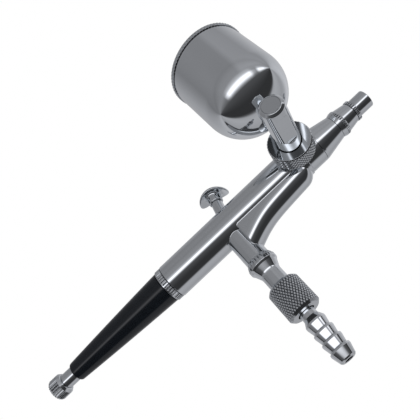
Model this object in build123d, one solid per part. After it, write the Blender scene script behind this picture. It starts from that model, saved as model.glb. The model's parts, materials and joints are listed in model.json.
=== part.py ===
"""Dual-action side-feed airbrush, in millimetres.

The barrel lies along X with the nozzle at +X. The trigger stands on top, +Z, and the air valve
hangs below it. The paint cup stands on an arm that leaves the barrel towards -Y.
Stations are counted along the barrel from the line that the trigger and the air valve share.
The finished nodes are moved so that the origin is the middle of the rear barrel, where the
airbrush is held. Neighbouring solids keep a small gap, and knurls are left to the finish.
"""
from build123d import *
import math
import os

# ---------------------------------------------------------------- driving dimensions
BARREL_R = 6.5
BARREL_REAR = -27.1
NOSE_STEP = 34.0
NOSE_R = 6.2
NOSE_END = 40.4
SPIGOT_R = 5.0
SPIGOT_END = 44.5
GRIP_STATION = -16.0

CAVITY_R = 4.7
CAVITY_FRONT = 9.5
RING_BORE_R = 5.3
RING_BORE_FRONT = -20.0

SLOT_REAR = -4.6
SLOT_FRONT = 8.4
SLOT_W = 4.8

WEB_HALF = 5.2
WEB_REAR = 2.2
WEB_LINE = [(-3.0, -11.6), (10.9, -4.9), (29.1, -3.4)]
WEB_BEND = 30.0

HOUSING_R = 4.35
HOUSING_BOTTOM = -16.6
CHAMBER_R = 3.2
CHAMBER_TOP = -9.8

SOCKET_X = 33.1
BOSS_R = 4.6
BOSS_FACE = 7.7
SOCKET_R = 2.4
SOCKET_DEPTH = 5.2

TRIGGER_PIVOT_Z = -3.5
TRIGGER_LEAN = 13.5
FOOT_R = 1.5
STEM_R = 2.1
STEM_OFFSET = -0.85
PAD_HALF_L = 5.8
PAD_HALF_W = 4.6
PAD_T = 0.9
PAD_UNDER_Z = 17.9
HUB_R = 2.7
STEM_TOP = 16.4

LEVER_PIVOT_X = -3.6
LEVER_PIVOT_Z = -3.3

NEEDLE_R = 0.55
NEEDLE_TIP = 61.5
NEEDLE_REAR = -57.0
GUIDE_R = 1.7
GUIDE_FRONT = -4.0

RING_R = 6.35
HANDLE_FRONT = -29.8
HANDLE_REAR = -73.5
HANDLE_FRONT_R = 6.0
HANDLE_MID_R = 4.92
HANDLE_REAR_R = 3.6
KNOB_R = 4.0
KNOB_FRONT = -78.4
KNOB_REAR = -83.8
SHANK_R = 2.8

CUP_Y = 23.8
CUP_R = 14.6
CUP_WALL = 0.8
CUP_BALL_Z = 18.9
CUP_RIM_Z = 37.0
LID_R = 15.0
LID_TOP_Z = 38.6
ARM_R = 4.0
ARM_END = 34.6
ARM_SHOULDER = 12.2
ARM_STEM_R = 2.95
LOCK_NUT_R = 7.4
LOCK_NUT_REAR = 8.0
LOCK_NUT_FRONT = 14.2

COLLAR_R = 5.25
WAIST_R = 3.55
CASING_BOTTOM = -34.4
UNION_R = 5.75
UNION_TOP = -28.0
UNION_BOTTOM = -39.5
BARB_R = 3.55
BARB_ROOT_R = 2.95
BARB_TIPS = [-43.3, -46.7, -50.1, -53.5]
BARB_LAND = 0.6
BARB_END = -57.3

GAP = 0.03


# ---------------------------------------------------------------- helpers
def turned(points, rounds=None):
    """A solid turned about X. Each point is (station, radius), and rounds maps an index to a radius."""
    if rounds:
        radii = [rounds.get(index, 0) for index in range(len(points))]
        outline = FilletPolyline(*points, radius=radii, close=True)
    else:
        outline = Polyline(*points, close=True)
    return revolve(make_face(outline.edges()), Axis.X, 360)


def rod(start, end, radius):
    return turned([(start, 0), (start, radius), (end, radius), (end, 0)])


def tube(start, end, outer, inner):
    return turned([(start, inner), (start, outer), (end, outer), (end, inner)])


def upright(solid):
    """Turns a solid made along X so that it runs along Z."""
    return Rot(0, -90, 0) * solid


def sideways(solid):
    """Turns a solid made along X so that it runs along -Y from the socket."""
    return Pos(SOCKET_X, 0, 0) * Rot(0, 0, -90) * solid


def coil(radius, wire_r, length, turns):
    """A compression spring that starts at the origin and winds along Z."""
    path = Helix(pitch=length / turns, height=length, radius=radius)
    start = Plane(origin=path @ 0, z_dir=path % 0)
    return sweep(start * Circle(wire_r), path=path)


# ---------------------------------------------------------------- body
def web():
    """The full-round rib under the barrel, which carries the air passage to the nose."""
    line = FilletPolyline(*[(x, 0, z) for x, z in WEB_LINE], radius=WEB_BEND)
    start = Plane(origin=line @ 0, x_dir=(0, 1, 0), z_dir=line % 0)
    height = 14.0
    section = Circle(WEB_HALF) + Pos(0, height / 2) * Rectangle(2 * WEB_HALF, height)
    rib = sweep(start * section, path=line)
    front_x, front_z = WEB_LINE[-1]
    rib += Pos(front_x, 0, front_z) * Sphere(WEB_HALF)
    span = 60
    keep = Pos(WEB_REAR + span / 2, 0, -span / 2) * Box(span, span, span)
    return rib & keep


def trigger_slot():
    depth = 8.0
    length = SLOT_FRONT - SLOT_REAR
    middle = (SLOT_FRONT + SLOT_REAR) / 2
    return Pos(middle, 0, 2.0) * extrude(SlotOverall(length, SLOT_W), depth)


def air_passage():
    """The drilling from the valve chamber to the ring-shaped face of the nose spigot."""
    start = Vector(2.6, 0, -10.7)
    end = Vector(SPIGOT_END + 1, 0, -3.75)
    run = end - start
    return Plane(origin=start, z_dir=run) * Cylinder(
        0.65, run.length, align=(Align.CENTER, Align.CENTER, Align.MIN)
    )


def body_shell():
    shell = turned(
        [
            (BARREL_REAR, 0),
            (BARREL_REAR, BARREL_R),
            (NOSE_STEP, BARREL_R),
            (NOSE_STEP + 0.3, NOSE_R),
            (NOSE_END, NOSE_R),
            (NOSE_END, SPIGOT_R),
            (SPIGOT_END, SPIGOT_R),
            (SPIGOT_END, 0),
        ]
    )
    shell += upright(rod(HOUSING_BOTTOM, 0, HOUSING_R))
    shell += web()
    shell += sideways(rod(0, BOSS_FACE, BOSS_R))
    shell -= turned(
        [
            (BARREL_REAR - 1, 0),
            (BARREL_REAR - 1, RING_BORE_R),
            (RING_BORE_FRONT, RING_BORE_R),
            (RING_BORE_FRONT, CAVITY_R),
            (CAVITY_FRONT, CAVITY_R),
            (CAVITY_FRONT, 2.6),
            (17.5, 2.6),
            (17.5, 0.75),
            (24.0, 0.75),
            (24.0, 1.6),
            (36.0, 1.6),
            (36.0, 2.6),
            (SPIGOT_END + 1, 2.6),
            (SPIGOT_END + 1, 0),
        ]
    )
    shell -= trigger_slot()
    shell -= upright(
        turned(
            [
                (HOUSING_BOTTOM - 1, 0),
                (HOUSING_BOTTOM - 1, CHAMBER_R),
                (CHAMBER_TOP, CHAMBER_R),
                (CHAMBER_TOP, 1.9),
                (-2.0, 1.9),
                (-2.0, 0),
            ]
        )
    )
    shell -= air_passage()
    shell -= sideways(rod(BOSS_FACE - SOCKET_DEPTH, BOSS_FACE + 1, SOCKET_R))
    shell -= sideways(rod(0, BOSS_FACE, 1.3))
    return shell


# ---------------------------------------------------------------- nose
def head():
    return turned(
        [
            (NOSE_END + GAP, SPIGOT_R + GAP),
            (NOSE_END + GAP, 6.15),
            (NOSE_END + 0.8, 6.15),
            (49.5, 4.5),
            (49.5, 3.9),
            (45.0, 3.9),
            (45.0, SPIGOT_R + GAP),
        ]
    )


def nozzle_cap():
    return turned(
        [
            (46.8, 2.9),
            (46.8, 3.9 - GAP),
            (49.6, 3.9 - GAP),
            (49.6, 4.4),
            (50.3, 4.4),
            (50.5, 4.85),
            (52.4, 4.85),
            (52.6, 4.5),
            (57.0, 3.7),
            (57.0, 2.9),
            (59.5, 2.9),
            (59.5, 1.5),
            (57.0, 1.5),
            (52.5, 2.6),
        ]
    )


def needle_cap():
    return turned(
        [
            (57.1, 2.9 + GAP),
            (57.1, 3.75),
            (57.3, 3.95),
            (58.3, 3.95),
            (58.5, 3.3),
            (63.8, 3.3),
            (64.0, 3.1),
            (64.0, 2.5),
            (63.6, 2.3),
            (59.6, 2.3),
            (59.6, 2.9 + GAP),
        ]
    )


def fluid_nozzle():
    return turned(
        [
            (36.2, 1.5),
            (36.2, 2.6 - GAP),
            (45.0, 2.6 - GAP),
            (45.0, 3.5),
            (46.3, 3.5),
            (46.3, 2.3),
            (59.8, 0.6),
            (59.8, 0.22),
            (53.0, 0.66),
            (46.5, 1.5),
        ]
    )


def nozzle_seal():
    return tube(SPIGOT_END + GAP, 45.0 - GAP, 3.5, 2.6 + GAP)


def needle_packing():
    return tube(14.2, 17.4, 2.55, NEEDLE_R + GAP)


def packing_screw():
    screw = tube(10.2, 14.15, 2.6 - GAP, 0.75)
    return screw - Pos(10.2, 0, 0) * Box(1.6, 6, 0.9)


# ---------------------------------------------------------------- needle drive
def needle():
    return turned(
        [
            (NEEDLE_REAR, 0),
            (NEEDLE_REAR, 0.4),
            (NEEDLE_REAR + 0.3, NEEDLE_R),
            (52.0, NEEDLE_R),
            (NEEDLE_TIP, 0.03),
            (NEEDLE_TIP, 0),
        ]
    )


def needle_guide():
    """The sliding tube round the needle: thrust disc in front, spring collar, split tail."""
    bore = NEEDLE_R + GAP
    guide = turned(
        [
            (GUIDE_FRONT, bore),
            (GUIDE_FRONT, 2.6),
            (GUIDE_FRONT - 1.0, 2.6),
            (GUIDE_FRONT - 1.0, GUIDE_R),
            (-24.0, GUIDE_R),
            (-24.0, 3.1),
            (-25.0, 3.1),
            (-25.0, GUIDE_R),
            (-54.0, GUIDE_R),
            (-54.0, bore),
        ]
    )
    split = 0.4
    tail = 7.0
    return guide - Pos(-54.0 + tail / 2, 0, 0) * Box(tail, 6, split)


def chuck_nut():
    return turned(
        [
            (-55.6, NEEDLE_R + 0.1),
            (-55.6, 2.4),
            (-55.0, 3.0),
            (-50.6, 3.0),
            (-50.3, 2.7),
            (-50.3, GUIDE_R + GAP),
            (-54.1, GUIDE_R + GAP),
            (-54.1, NEEDLE_R + 0.1),
        ]
    )


def needle_spring():
    return Pos(-44.55, 0, 0) * Rot(0, 90, 0) * coil(2.5, 0.27, 19.2, 12)


def aux_lever():
    """The forked lever behind the trigger. Its cam pushes the needle guide back."""
    profile = Polyline(
        (-0.25, 0), (0.6, 0), (0.6, 6.4), (-0.25, 6.4), (-1.4, 5.6), (-1.4, 4.6), (-0.25, 4.0), close=True
    )
    half_w = 2.2
    plate = extrude(Plane.XZ * make_face(profile.edges()), half_w, both=True)
    plate += Rot(90, 0, 0) * Cylinder(0.5, 2 * half_w)
    plate -= Pos(0, 0, 5.8) * Box(8, 1.7, 7.6)
    return Pos(LEVER_PIVOT_X, 0, LEVER_PIVOT_Z) * Rot(0, TRIGGER_LEAN, 0) * plate


def spring_case():
    return turned(
        [
            (-22.0, 3.3),
            (-22.0, 4.05),
            (-46.0, 4.05),
            (-46.0, GUIDE_R + 0.06),
            (-45.0, GUIDE_R + 0.06),
            (-45.0, 3.3),
        ]
    )


# ---------------------------------------------------------------- handle
def handle_ring():
    return turned(
        [
            (-20.6, 4.1),
            (-20.6, RING_BORE_R - GAP),
            (BARREL_REAR - GAP, RING_BORE_R - GAP),
            (BARREL_REAR - GAP, 6.1),
            (BARREL_REAR - 0.3, RING_R),
            (-29.5, RING_R),
            (-29.75, 6.1),
            (-29.75, 4.9),
            (-36.0, 4.9),
            (-36.0, 4.1),
        ]
    )


def handle():
    front = (HANDLE_FRONT, HANDLE_FRONT_R)
    rear = (HANDLE_REAR + 0.7, HANDLE_REAR_R)
    middle = ((HANDLE_FRONT + HANDLE_REAR) / 2, HANDLE_MID_R)
    outline = ThreePointArc(front, middle, rear)
    outline += Polyline(
        rear,
        (HANDLE_REAR, HANDLE_REAR_R - 0.6),
        (HANDLE_REAR, SHANK_R + 0.06),
        (-66.5, SHANK_R + 0.06),
        (-66.5, 3.05),
        (-63.0, 3.05),
        (-62.8, 3.3),
        (-46.8, 3.6),
        (-46.6, 4.3),
        (-36.3, 4.3),
        (-36.3, 4.95),
        (HANDLE_FRONT, 4.95),
        front,
    )
    return revolve(make_face(outline.edges()), Axis.X, 360)


def stop_bush():
    return tube(-66.45, -64.2, 3.0, 1.46)


def stop_tip():
    return turned([(-64.1, 0), (-64.1, 1.9), (-63.2, 1.9), (-62.4, 1.1), (-62.4, 0)])


def stop_screw():
    return turned(
        [
            (-82.4, 0),
            (-82.4, 1.4),
            (KNOB_FRONT, 1.4),
            (KNOB_FRONT + GAP, SHANK_R),
            (-70.6, SHANK_R),
            (-70.3, 1.4),
            (-64.15, 1.4),
            (-64.15, 0),
        ]
    )


def stop_knob():
    return turned(
        [
            (KNOB_REAR, 0),
            (KNOB_REAR, KNOB_R),
            (KNOB_FRONT, KNOB_R),
            (KNOB_FRONT, 1.4 + GAP),
            (-82.5, 1.4 + GAP),
            (-82.5, 0),
        ],
        {1: 0.9, 2: 0.9},
    )


# ---------------------------------------------------------------- trigger
def at_trigger(solid):
    """Places a solid made round the pivot ball, upright, at the trigger's forward lean."""
    return Pos(0, 0, TRIGGER_PIVOT_Z) * Rot(0, TRIGGER_LEAN, 0) * solid


def trigger_stem():
    tongue_top = 9.0
    tongue_w = 3.4
    tongue_d = 3.1
    tongue_foot = 1.75
    stem = Pos(STEM_OFFSET, 0, (tongue_top + STEM_TOP) / 2) * Cylinder(STEM_R, STEM_TOP - tongue_top)
    tongue_h = tongue_top + 0.1 - tongue_foot
    stem += Pos(STEM_OFFSET, 0, tongue_foot + tongue_h / 2) * Box(tongue_w, tongue_d, tongue_h)
    stem += Pos(0, 0, 1.0) * Cylinder(1.0, 2.0)
    stem += Rot(90, 0, 0) * Cylinder(FOOT_R, 2.0)
    slot_foot = 2.3
    slot_h = 5.4
    stem -= Pos(STEM_OFFSET, 0, slot_foot + slot_h / 2) * Box(9, 1.6, slot_h)
    return at_trigger(stem)


def trigger_button():
    """The finger pad: an oval plate that curves down in front and behind, on a short hub."""
    bend_r = 9.0
    bend_z = PAD_UNDER_Z - bend_r
    hub_foot = 14.4
    plate = Pos(0, 0, bend_z) * Rot(90, 0, 0) * (Cylinder(bend_r + PAD_T, 20) - Cylinder(bend_r, 20))
    oval = Pos(0, 0, hub_foot - 1) * extrude(Ellipse(PAD_HALF_L, PAD_HALF_W), 8)
    hub = upright(rod(hub_foot, PAD_UNDER_Z + 0.2, HUB_R))
    socket = upright(rod(hub_foot - 1, STEM_TOP + 0.05, STEM_R + GAP))
    button = (plate & oval) + hub - socket
    return at_trigger(Pos(STEM_OFFSET, 0, 0) * button)


# ---------------------------------------------------------------- air valve
def valve_plunger():
    plunger = upright(
        turned(
            [
                (-13.0, 0),
                (-13.0, 0.55),
                (-9.7, 0.55),
                (-9.7, 1.2),
                (-6.4, 1.2),
                (-6.4, 1.8),
                (-4.2, 1.8),
                (-4.2, 0),
            ]
        )
    )
    return plunger - Pos(0, 0, TRIGGER_PIVOT_Z) * Rot(90, 0, 0) * Cylinder(FOOT_R + GAP, 6)


def stem_oring():
    return upright(tube(-9.65, -8.6, 1.88, 1.2 + GAP))


def valve_poppet():
    return upright(
        turned(
            [
                (-19.0, 0),
                (-19.0, 0.8),
                (-16.5, 0.8),
                (-16.5, 1.9),
                (-13.75, 1.9),
                (-13.75, 0.75),
                (-13.05, 0.75),
                (-13.05, 0),
            ]
        )
    )


def valve_oring():
    return upright(tube(-13.7, -12.85, 1.85, 0.75 + GAP))


def valve_spring():
    return Pos(0, 0, -22.6) * coil(1.45, 0.2, 5.8, 6)


def valve_retainer():
    retainer = upright(tube(-25.6, -23.0, 2.2 - GAP, 0.7))
    return retainer - Pos(0, 0, -25.6) * extrude(RegularPolygon(1.3, 6), 1.2)


def valve_casing():
    """The turned fitting below the housing: threaded spigot, ribbed collar, waist, union thread."""
    bore = 2.2
    return upright(
        turned(
            [
                (-11.8, 1.0),
                (-11.8, CHAMBER_R - GAP),
                (HOUSING_BOTTOM - GAP, CHAMBER_R - GAP),
                (HOUSING_BOTTOM - GAP, 4.7),
                (-18.0, COLLAR_R),
                (-19.3, COLLAR_R),
                (-20.1, 4.9),
                (-22.6, WAIST_R),
                (-27.6, WAIST_R),
                (-28.4, 4.0),
                (CASING_BOTTOM, 4.0),
                (CASING_BOTTOM, 2.6),
                (-33.2, bore),
                (-12.8, bore),
                (-12.8, 1.0),
            ],
            {8: 3.2},
        )
    )


# ---------------------------------------------------------------- hose coupling
def union_nut():
    lip_r = 3.0
    return upright(
        turned(
            [
                (UNION_TOP, 4.0 + 2 * GAP),
                (UNION_TOP, 4.9),
                (UNION_TOP - 0.9, UNION_R),
                (UNION_BOTTOM + 0.9, UNION_R),
                (UNION_BOTTOM, 4.9),
                (UNION_BOTTOM, lip_r),
                (-37.0, lip_r),
                (-37.0, 4.0 + 2 * GAP),
            ]
        )
    )


def hose_barb():
    neck_r = 2.6
    bore_r = 1.5
    profile = [
        (-34.6, bore_r),
        (-34.6, 2.3),
        (-35.2, 3.7),
        (-36.9, 3.7),
        (-36.9, neck_r),
        (-41.6, neck_r),
    ]
    for tip in BARB_TIPS:
        profile += [(tip, BARB_R), (tip - BARB_LAND, BARB_R), (tip - 3.2, BARB_ROOT_R)]
    profile[-1] = (BARB_END + 0.4, 2.75)
    profile += [(BARB_END, 2.4), (BARB_END, bore_r)]
    return upright(turned(profile))


# ---------------------------------------------------------------- paint cup
def cup_elbow():
    """The arm that carries the cup: threaded stem, stop shoulder, drilled arm with a flat below."""
    spigot_r = SOCKET_R - GAP
    arm = sideways(
        turned(
            [
                (3.0, 0),
                (3.0, spigot_r),
                (BOSS_FACE + 0.05, spigot_r),
                (BOSS_FACE + 0.3, ARM_STEM_R),
                (ARM_SHOULDER, ARM_STEM_R),
                (ARM_SHOULDER, 3.4),
                (ARM_SHOULDER + 0.8, ARM_R),
                (ARM_END - 0.8, ARM_R),
                (ARM_END, ARM_R - 0.8),
                (ARM_END, 0),
            ]
        )
    )
    flat_z = -3.5
    flat_middle = 24.6
    flat = SlotOverall(13.4, 4.4)
    arm -= Pos(SOCKET_X, -flat_middle, flat_z - 3) * extrude(Rot(0, 0, 90) * flat, 3)
    arm -= sideways(rod(2, ARM_END + 1, 1.3))
    arm -= sideways(rod(ARM_END - 3.0, ARM_END + 1, 2.9))
    arm -= Pos(SOCKET_X, -CUP_Y, 0) * upright(rod(0, 2.2, 1.3))
    arm -= Pos(SOCKET_X, -CUP_Y, 0) * upright(rod(1.8, 6, 2.4))
    return arm


def elbow_plug():
    return sideways(turned([(ARM_END - 2.9, 0), (ARM_END - 2.9, 2.87), (ARM_END, 2.87), (ARM_END, 0)]))


def socket_seal():
    return sideways(tube(BOSS_FACE - SOCKET_DEPTH + 0.03, 2.95, 2.3, 1.35))


def cup_bowl():
    """A round-bottomed cup on a short hollow neck that sits in the arm."""
    inner_r = CUP_R - CUP_WALL
    slope = math.sqrt(0.5)
    outer_pole = CUP_BALL_Z - CUP_R
    inner_pole = CUP_BALL_Z - inner_r
    lines = ThreePointArc(
        (outer_pole, 0), (CUP_BALL_Z - CUP_R * slope, CUP_R * slope), (CUP_BALL_Z, CUP_R)
    )
    lines += Polyline((CUP_BALL_Z, CUP_R), (CUP_RIM_Z, CUP_R), (CUP_RIM_Z, inner_r), (CUP_BALL_Z, inner_r))
    lines += ThreePointArc(
        (CUP_BALL_Z, inner_r), (CUP_BALL_Z - inner_r * slope, inner_r * slope), (inner_pole, 0)
    )
    lines += Line((inner_pole, 0), (outer_pole, 0))
    bowl = revolve(make_face(lines.edges()), Axis.X, 360)
    neck = turned([(1.9, 0), (1.9, 2.37), (4.02, 2.37), (4.02, 3.3), (4.6, 3.3), (4.8, 2.6), (4.8, 0)])
    bowl += neck
    bowl -= rod(1, 6, 1.2)
    return Pos(SOCKET_X, -CUP_Y, 0) * upright(bowl)


def cup_lid():
    inner_r = CUP_R - CUP_WALL
    lid = turned(
        [
            (34.6, inner_r - 0.4),
            (34.6, inner_r - GAP),
            (CUP_RIM_Z + GAP, inner_r - GAP),
            (CUP_RIM_Z + GAP, LID_R),
            (LID_TOP_Z - 0.2, LID_R),
            (LID_TOP_Z, LID_R - 0.2),
            (LID_TOP_Z + 0.5, 9.0),
            (LID_TOP_Z + 0.7, 0),
            (LID_TOP_Z - 0.3, 0),
            (LID_TOP_Z - 0.6, inner_r - 0.4),
        ]
    )
    lid -= rod(30, 45, 0.6)
    return Pos(SOCKET_X, -CUP_Y, 0) * upright(lid)


def lock_nut():
    """The knurled ring that jams the arm against the boss, dished in front."""
    bore_r = ARM_STEM_R + GAP
    return sideways(
        turned(
            [
                (LOCK_NUT_REAR, bore_r),
                (LOCK_NUT_REAR, LOCK_NUT_R - 0.5),
                (LOCK_NUT_REAR + 0.5, LOCK_NUT_R),
                (LOCK_NUT_FRONT - 0.3, LOCK_NUT_R),
                (LOCK_NUT_FRONT, LOCK_NUT_R - 0.3),
                (LOCK_NUT_FRONT - 0.9, ARM_R + 0.2),
                (ARM_SHOULDER - 0.6, ARM_R + 0.2),
                (ARM_SHOULDER - 0.6, bore_r),
            ]
        )
    )


NODES = [
    body_shell,
    head,
    nozzle_cap,
    needle_cap,
    fluid_nozzle,
    nozzle_seal,
    needle_packing,
    packing_screw,
    needle,
    needle_guide,
    chuck_nut,
    needle_spring,
    aux_lever,
    spring_case,
    handle_ring,
    handle,
    stop_bush,
    stop_tip,
    stop_screw,
    stop_knob,
    trigger_stem,
    trigger_button,
    valve_plunger,
    stem_oring,
    valve_poppet,
    valve_oring,
    valve_spring,
    valve_retainer,
    valve_casing,
    union_nut,
    hose_barb,
    cup_elbow,
    elbow_plug,
    socket_seal,
    cup_bowl,
    cup_lid,
    lock_nut,
]

os.makedirs("parts", exist_ok=True)
for make in NODES:
    solid = Pos(-GRIP_STATION, 0, 0) * make()
    export_step(Part(solid.wrapped), f"parts/{make.__name__}.step")
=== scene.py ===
"""The looks of a dual-action side-feed airbrush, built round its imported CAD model.

Shapes are worked out in millimetres. Stations along the barrel count from the line that the
trigger and the air valve share, +X towards the nozzle, as the CAD model's own stations do.
"""

import json
import math

import bpy
import numpy as np
from mathutils import Matrix, Vector


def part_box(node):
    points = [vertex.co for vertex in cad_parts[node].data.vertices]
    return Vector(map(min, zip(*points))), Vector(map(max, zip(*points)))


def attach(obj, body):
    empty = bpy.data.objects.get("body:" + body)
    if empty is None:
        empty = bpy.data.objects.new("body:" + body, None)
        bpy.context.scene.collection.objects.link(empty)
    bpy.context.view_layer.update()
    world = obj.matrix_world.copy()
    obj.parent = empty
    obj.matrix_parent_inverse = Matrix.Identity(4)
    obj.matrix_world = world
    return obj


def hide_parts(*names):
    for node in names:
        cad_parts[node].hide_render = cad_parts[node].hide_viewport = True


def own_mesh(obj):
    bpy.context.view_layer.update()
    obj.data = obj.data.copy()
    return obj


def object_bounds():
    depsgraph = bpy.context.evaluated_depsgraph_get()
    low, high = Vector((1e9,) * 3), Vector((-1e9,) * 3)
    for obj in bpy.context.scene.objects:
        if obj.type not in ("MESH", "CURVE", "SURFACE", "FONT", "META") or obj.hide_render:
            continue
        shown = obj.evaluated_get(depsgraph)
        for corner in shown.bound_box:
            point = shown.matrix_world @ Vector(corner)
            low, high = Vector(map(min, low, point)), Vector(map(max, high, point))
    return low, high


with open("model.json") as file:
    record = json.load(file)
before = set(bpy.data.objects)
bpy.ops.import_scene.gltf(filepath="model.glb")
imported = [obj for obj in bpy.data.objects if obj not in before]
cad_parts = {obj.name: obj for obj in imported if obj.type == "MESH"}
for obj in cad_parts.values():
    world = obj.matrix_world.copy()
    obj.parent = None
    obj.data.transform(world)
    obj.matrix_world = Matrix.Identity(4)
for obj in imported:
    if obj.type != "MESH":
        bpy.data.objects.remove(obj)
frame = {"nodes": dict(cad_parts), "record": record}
cad_low, cad_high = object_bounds()

MM = 0.001


# ---------------------------------------------------------------- places, from the frame
def box_mm(node):
    low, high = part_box(node)
    return np.array(low) / MM, np.array(high) / MM


def middle(node, axis):
    low, high = box_mm(node)
    return (low[axis] + high[axis]) / 2


VALVE_X = middle("valve_casing", 0)
SOCKET_X = middle("lock_nut", 0) - VALVE_X
CUP_Y = -middle("cup_lid", 1)


def ends(node, axis=0):
    """Where a node starts and ends along an axis, as stations."""
    low, high = box_mm(node)
    shift = VALVE_X if axis == 0 else 0.0
    return low[axis] - shift, high[axis] - shift


def radius_of(node, axis=0):
    """The largest radius of a node that is turned about an axis."""
    low, high = box_mm(node)
    across = [high[i] - low[i] for i in range(3) if i != axis]
    return max(across) / 2


class Axis:
    """A line that turned pieces stand on: an origin and three directions, the first along it."""

    def __init__(self, origin, along, side):
        self.origin = np.array(origin, float)
        self.along = np.array(along, float)
        self.side = np.array(side, float)
        self.third = np.cross(self.along, self.side)

    def place(self, station, across, up):
        return (
            self.origin
            + station[..., None] * self.along
            + across[..., None] * self.side
            + up[..., None] * self.third
        )


BARREL = Axis((VALVE_X, 0, 0), (1, 0, 0), (0, 1, 0))
VALVE = Axis((VALVE_X, 0, 0), (0, 0, 1), (1, 0, 0))
ARM = Axis((VALVE_X + SOCKET_X, 0, 0), (0, -1, 0), (1, 0, 0))
CUP = Axis((VALVE_X + SOCKET_X, -CUP_Y, 0), (0, 0, 1), (1, 0, 0))

LEAN = math.radians(13.5)
PIVOT_Z = -3.5
STEM_OFFSET = -0.85
LEAN_ALONG = np.array((math.sin(LEAN), 0, math.cos(LEAN)))
LEAN_SIDE = np.array((math.cos(LEAN), 0, -math.sin(LEAN)))
TRIGGER_PIVOT = np.array((VALVE_X, 0, PIVOT_Z))


# ---------------------------------------------------------------- materials
def new_material(name):
    material = bpy.data.materials.new(name)
    material.use_nodes = True
    nodes = material.node_tree.nodes
    return material, nodes, material.node_tree.links, nodes["Principled BSDF"]


def noise(nodes, links, scale, detail=3.0, stretch=(1, 1, 1)):
    """A noise texture in object space, stretched along chosen axes, and its value socket."""
    place = nodes.new("ShaderNodeTexCoord")
    mapping = nodes.new("ShaderNodeMapping")
    mapping.inputs["Scale"].default_value = stretch
    texture = nodes.new("ShaderNodeTexNoise")
    texture.inputs["Scale"].default_value = scale
    texture.inputs["Detail"].default_value = detail
    links.new(place.outputs["Object"], mapping.inputs["Vector"])
    links.new(mapping.outputs["Vector"], texture.inputs["Vector"])
    return texture.outputs["Fac"]


def ranged(nodes, links, source, low, high):
    """Maps a value from 0 to 1 onto low to high."""
    node = nodes.new("ShaderNodeMapRange")
    node.inputs["To Min"].default_value = low
    node.inputs["To Max"].default_value = high
    links.new(source, node.inputs["Value"])
    return node.outputs["Result"]


def tinted(nodes, links, source, dark, light):
    """A colour ramp between two colours."""
    ramp = nodes.new("ShaderNodeValToRGB")
    ramp.color_ramp.elements[0].color = (*dark, 1)
    ramp.color_ramp.elements[1].color = (*light, 1)
    links.new(source, ramp.inputs["Fac"])
    return ramp.outputs["Color"]


def bumped(nodes, links, shader, source, strength, distance):
    bump = nodes.new("ShaderNodeBump")
    bump.inputs["Strength"].default_value = strength
    bump.inputs["Distance"].default_value = distance
    links.new(source, bump.inputs["Height"])
    links.new(bump.outputs["Normal"], shader.inputs["Normal"])


# Painted shade darkens the chrome where little is open within the reach, in metres: none when open, all
# when shut.
GROOVE_REACH = 0.0006
GROOVE_SHUT = 0.45
GROOVE_OPEN = 0.92
SHADE_PAINT_COLOUR = (0.19, 0.20, 0.22)


def chrome_material():
    """Bright chrome plate: waves from polishing, faint haze, and painted shade deep in knurls and
    joints.
    """
    material, nodes, links, shader = new_material("polished_chrome")
    shader.inputs["Metallic"].default_value = 1.0
    haze = noise(nodes, links, 160.0, 4.0)
    links.new(ranged(nodes, links, haze, 0.035, 0.085), shader.inputs["Roughness"])
    tone = noise(nodes, links, 60.0, 2.0)
    plate = tinted(nodes, links, tone, (0.75, 0.78, 0.81), (0.81, 0.835, 0.86))
    # Painted shade: ambient occlusion darkens the base colour to a grey in knurl grooves and joints.
    depth = nodes.new("ShaderNodeAmbientOcclusion")
    depth.samples = 8
    depth.inputs["Distance"].default_value = GROOVE_REACH
    painted_shade = nodes.new("ShaderNodeMapRange")
    painted_shade.inputs["From Min"].default_value = GROOVE_SHUT
    painted_shade.inputs["From Max"].default_value = GROOVE_OPEN
    links.new(depth.outputs["AO"], painted_shade.inputs["Value"])
    mix = nodes.new("ShaderNodeMix")
    mix.data_type = "RGBA"
    mix.inputs["A"].default_value = (*SHADE_PAINT_COLOUR, 1)
    links.new(painted_shade.outputs["Result"], mix.inputs["Factor"])
    links.new(plate, mix.inputs["B"])
    links.new(mix.outputs["Result"], shader.inputs["Base Color"])
    waves = noise(nodes, links, 130.0, 1.0)
    bumped(nodes, links, shader, waves, 0.25, 0.00006)
    return material


def lacquer_material():
    """Glossy black lacquer on the handle, with fine dust in it."""
    material, nodes, links, shader = new_material("black_lacquer")
    tone = noise(nodes, links, 400.0, 5.0)
    black = tinted(nodes, links, tone, (0.003, 0.004, 0.006), (0.007, 0.009, 0.012))
    links.new(black, shader.inputs["Base Color"])
    grain = noise(nodes, links, 1400.0, 3.0)
    links.new(ranged(nodes, links, grain, 0.03, 0.06), shader.inputs["Roughness"])
    shader.inputs["Specular IOR Level"].default_value = 0.42
    bumped(nodes, links, shader, grain, 0.1, 0.000008)
    return material


def machined_material(name, dark, light, roughness):
    """Bare turned metal, with fine cutter lines across the turning axis."""
    material, nodes, links, shader = new_material(name)
    shader.inputs["Metallic"].default_value = 1.0
    lines = noise(nodes, links, 900.0, 2.0, (6, 1, 1))
    links.new(tinted(nodes, links, lines, dark, light), shader.inputs["Base Color"])
    links.new(ranged(nodes, links, lines, roughness * 0.7, roughness * 1.3), shader.inputs["Roughness"])
    bumped(nodes, links, shader, lines, 0.2, 0.00003)
    return material


def moulded_material(name, dark, light, roughness):
    """Rubber or plastic with a fine moulded grain."""
    material, nodes, links, shader = new_material(name)
    grain = noise(nodes, links, 2200.0, 4.0)
    links.new(tinted(nodes, links, grain, dark, light), shader.inputs["Base Color"])
    links.new(ranged(nodes, links, grain, roughness * 0.85, roughness * 1.1), shader.inputs["Roughness"])
    bumped(nodes, links, shader, grain, 0.3, 0.00003)
    return material


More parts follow.
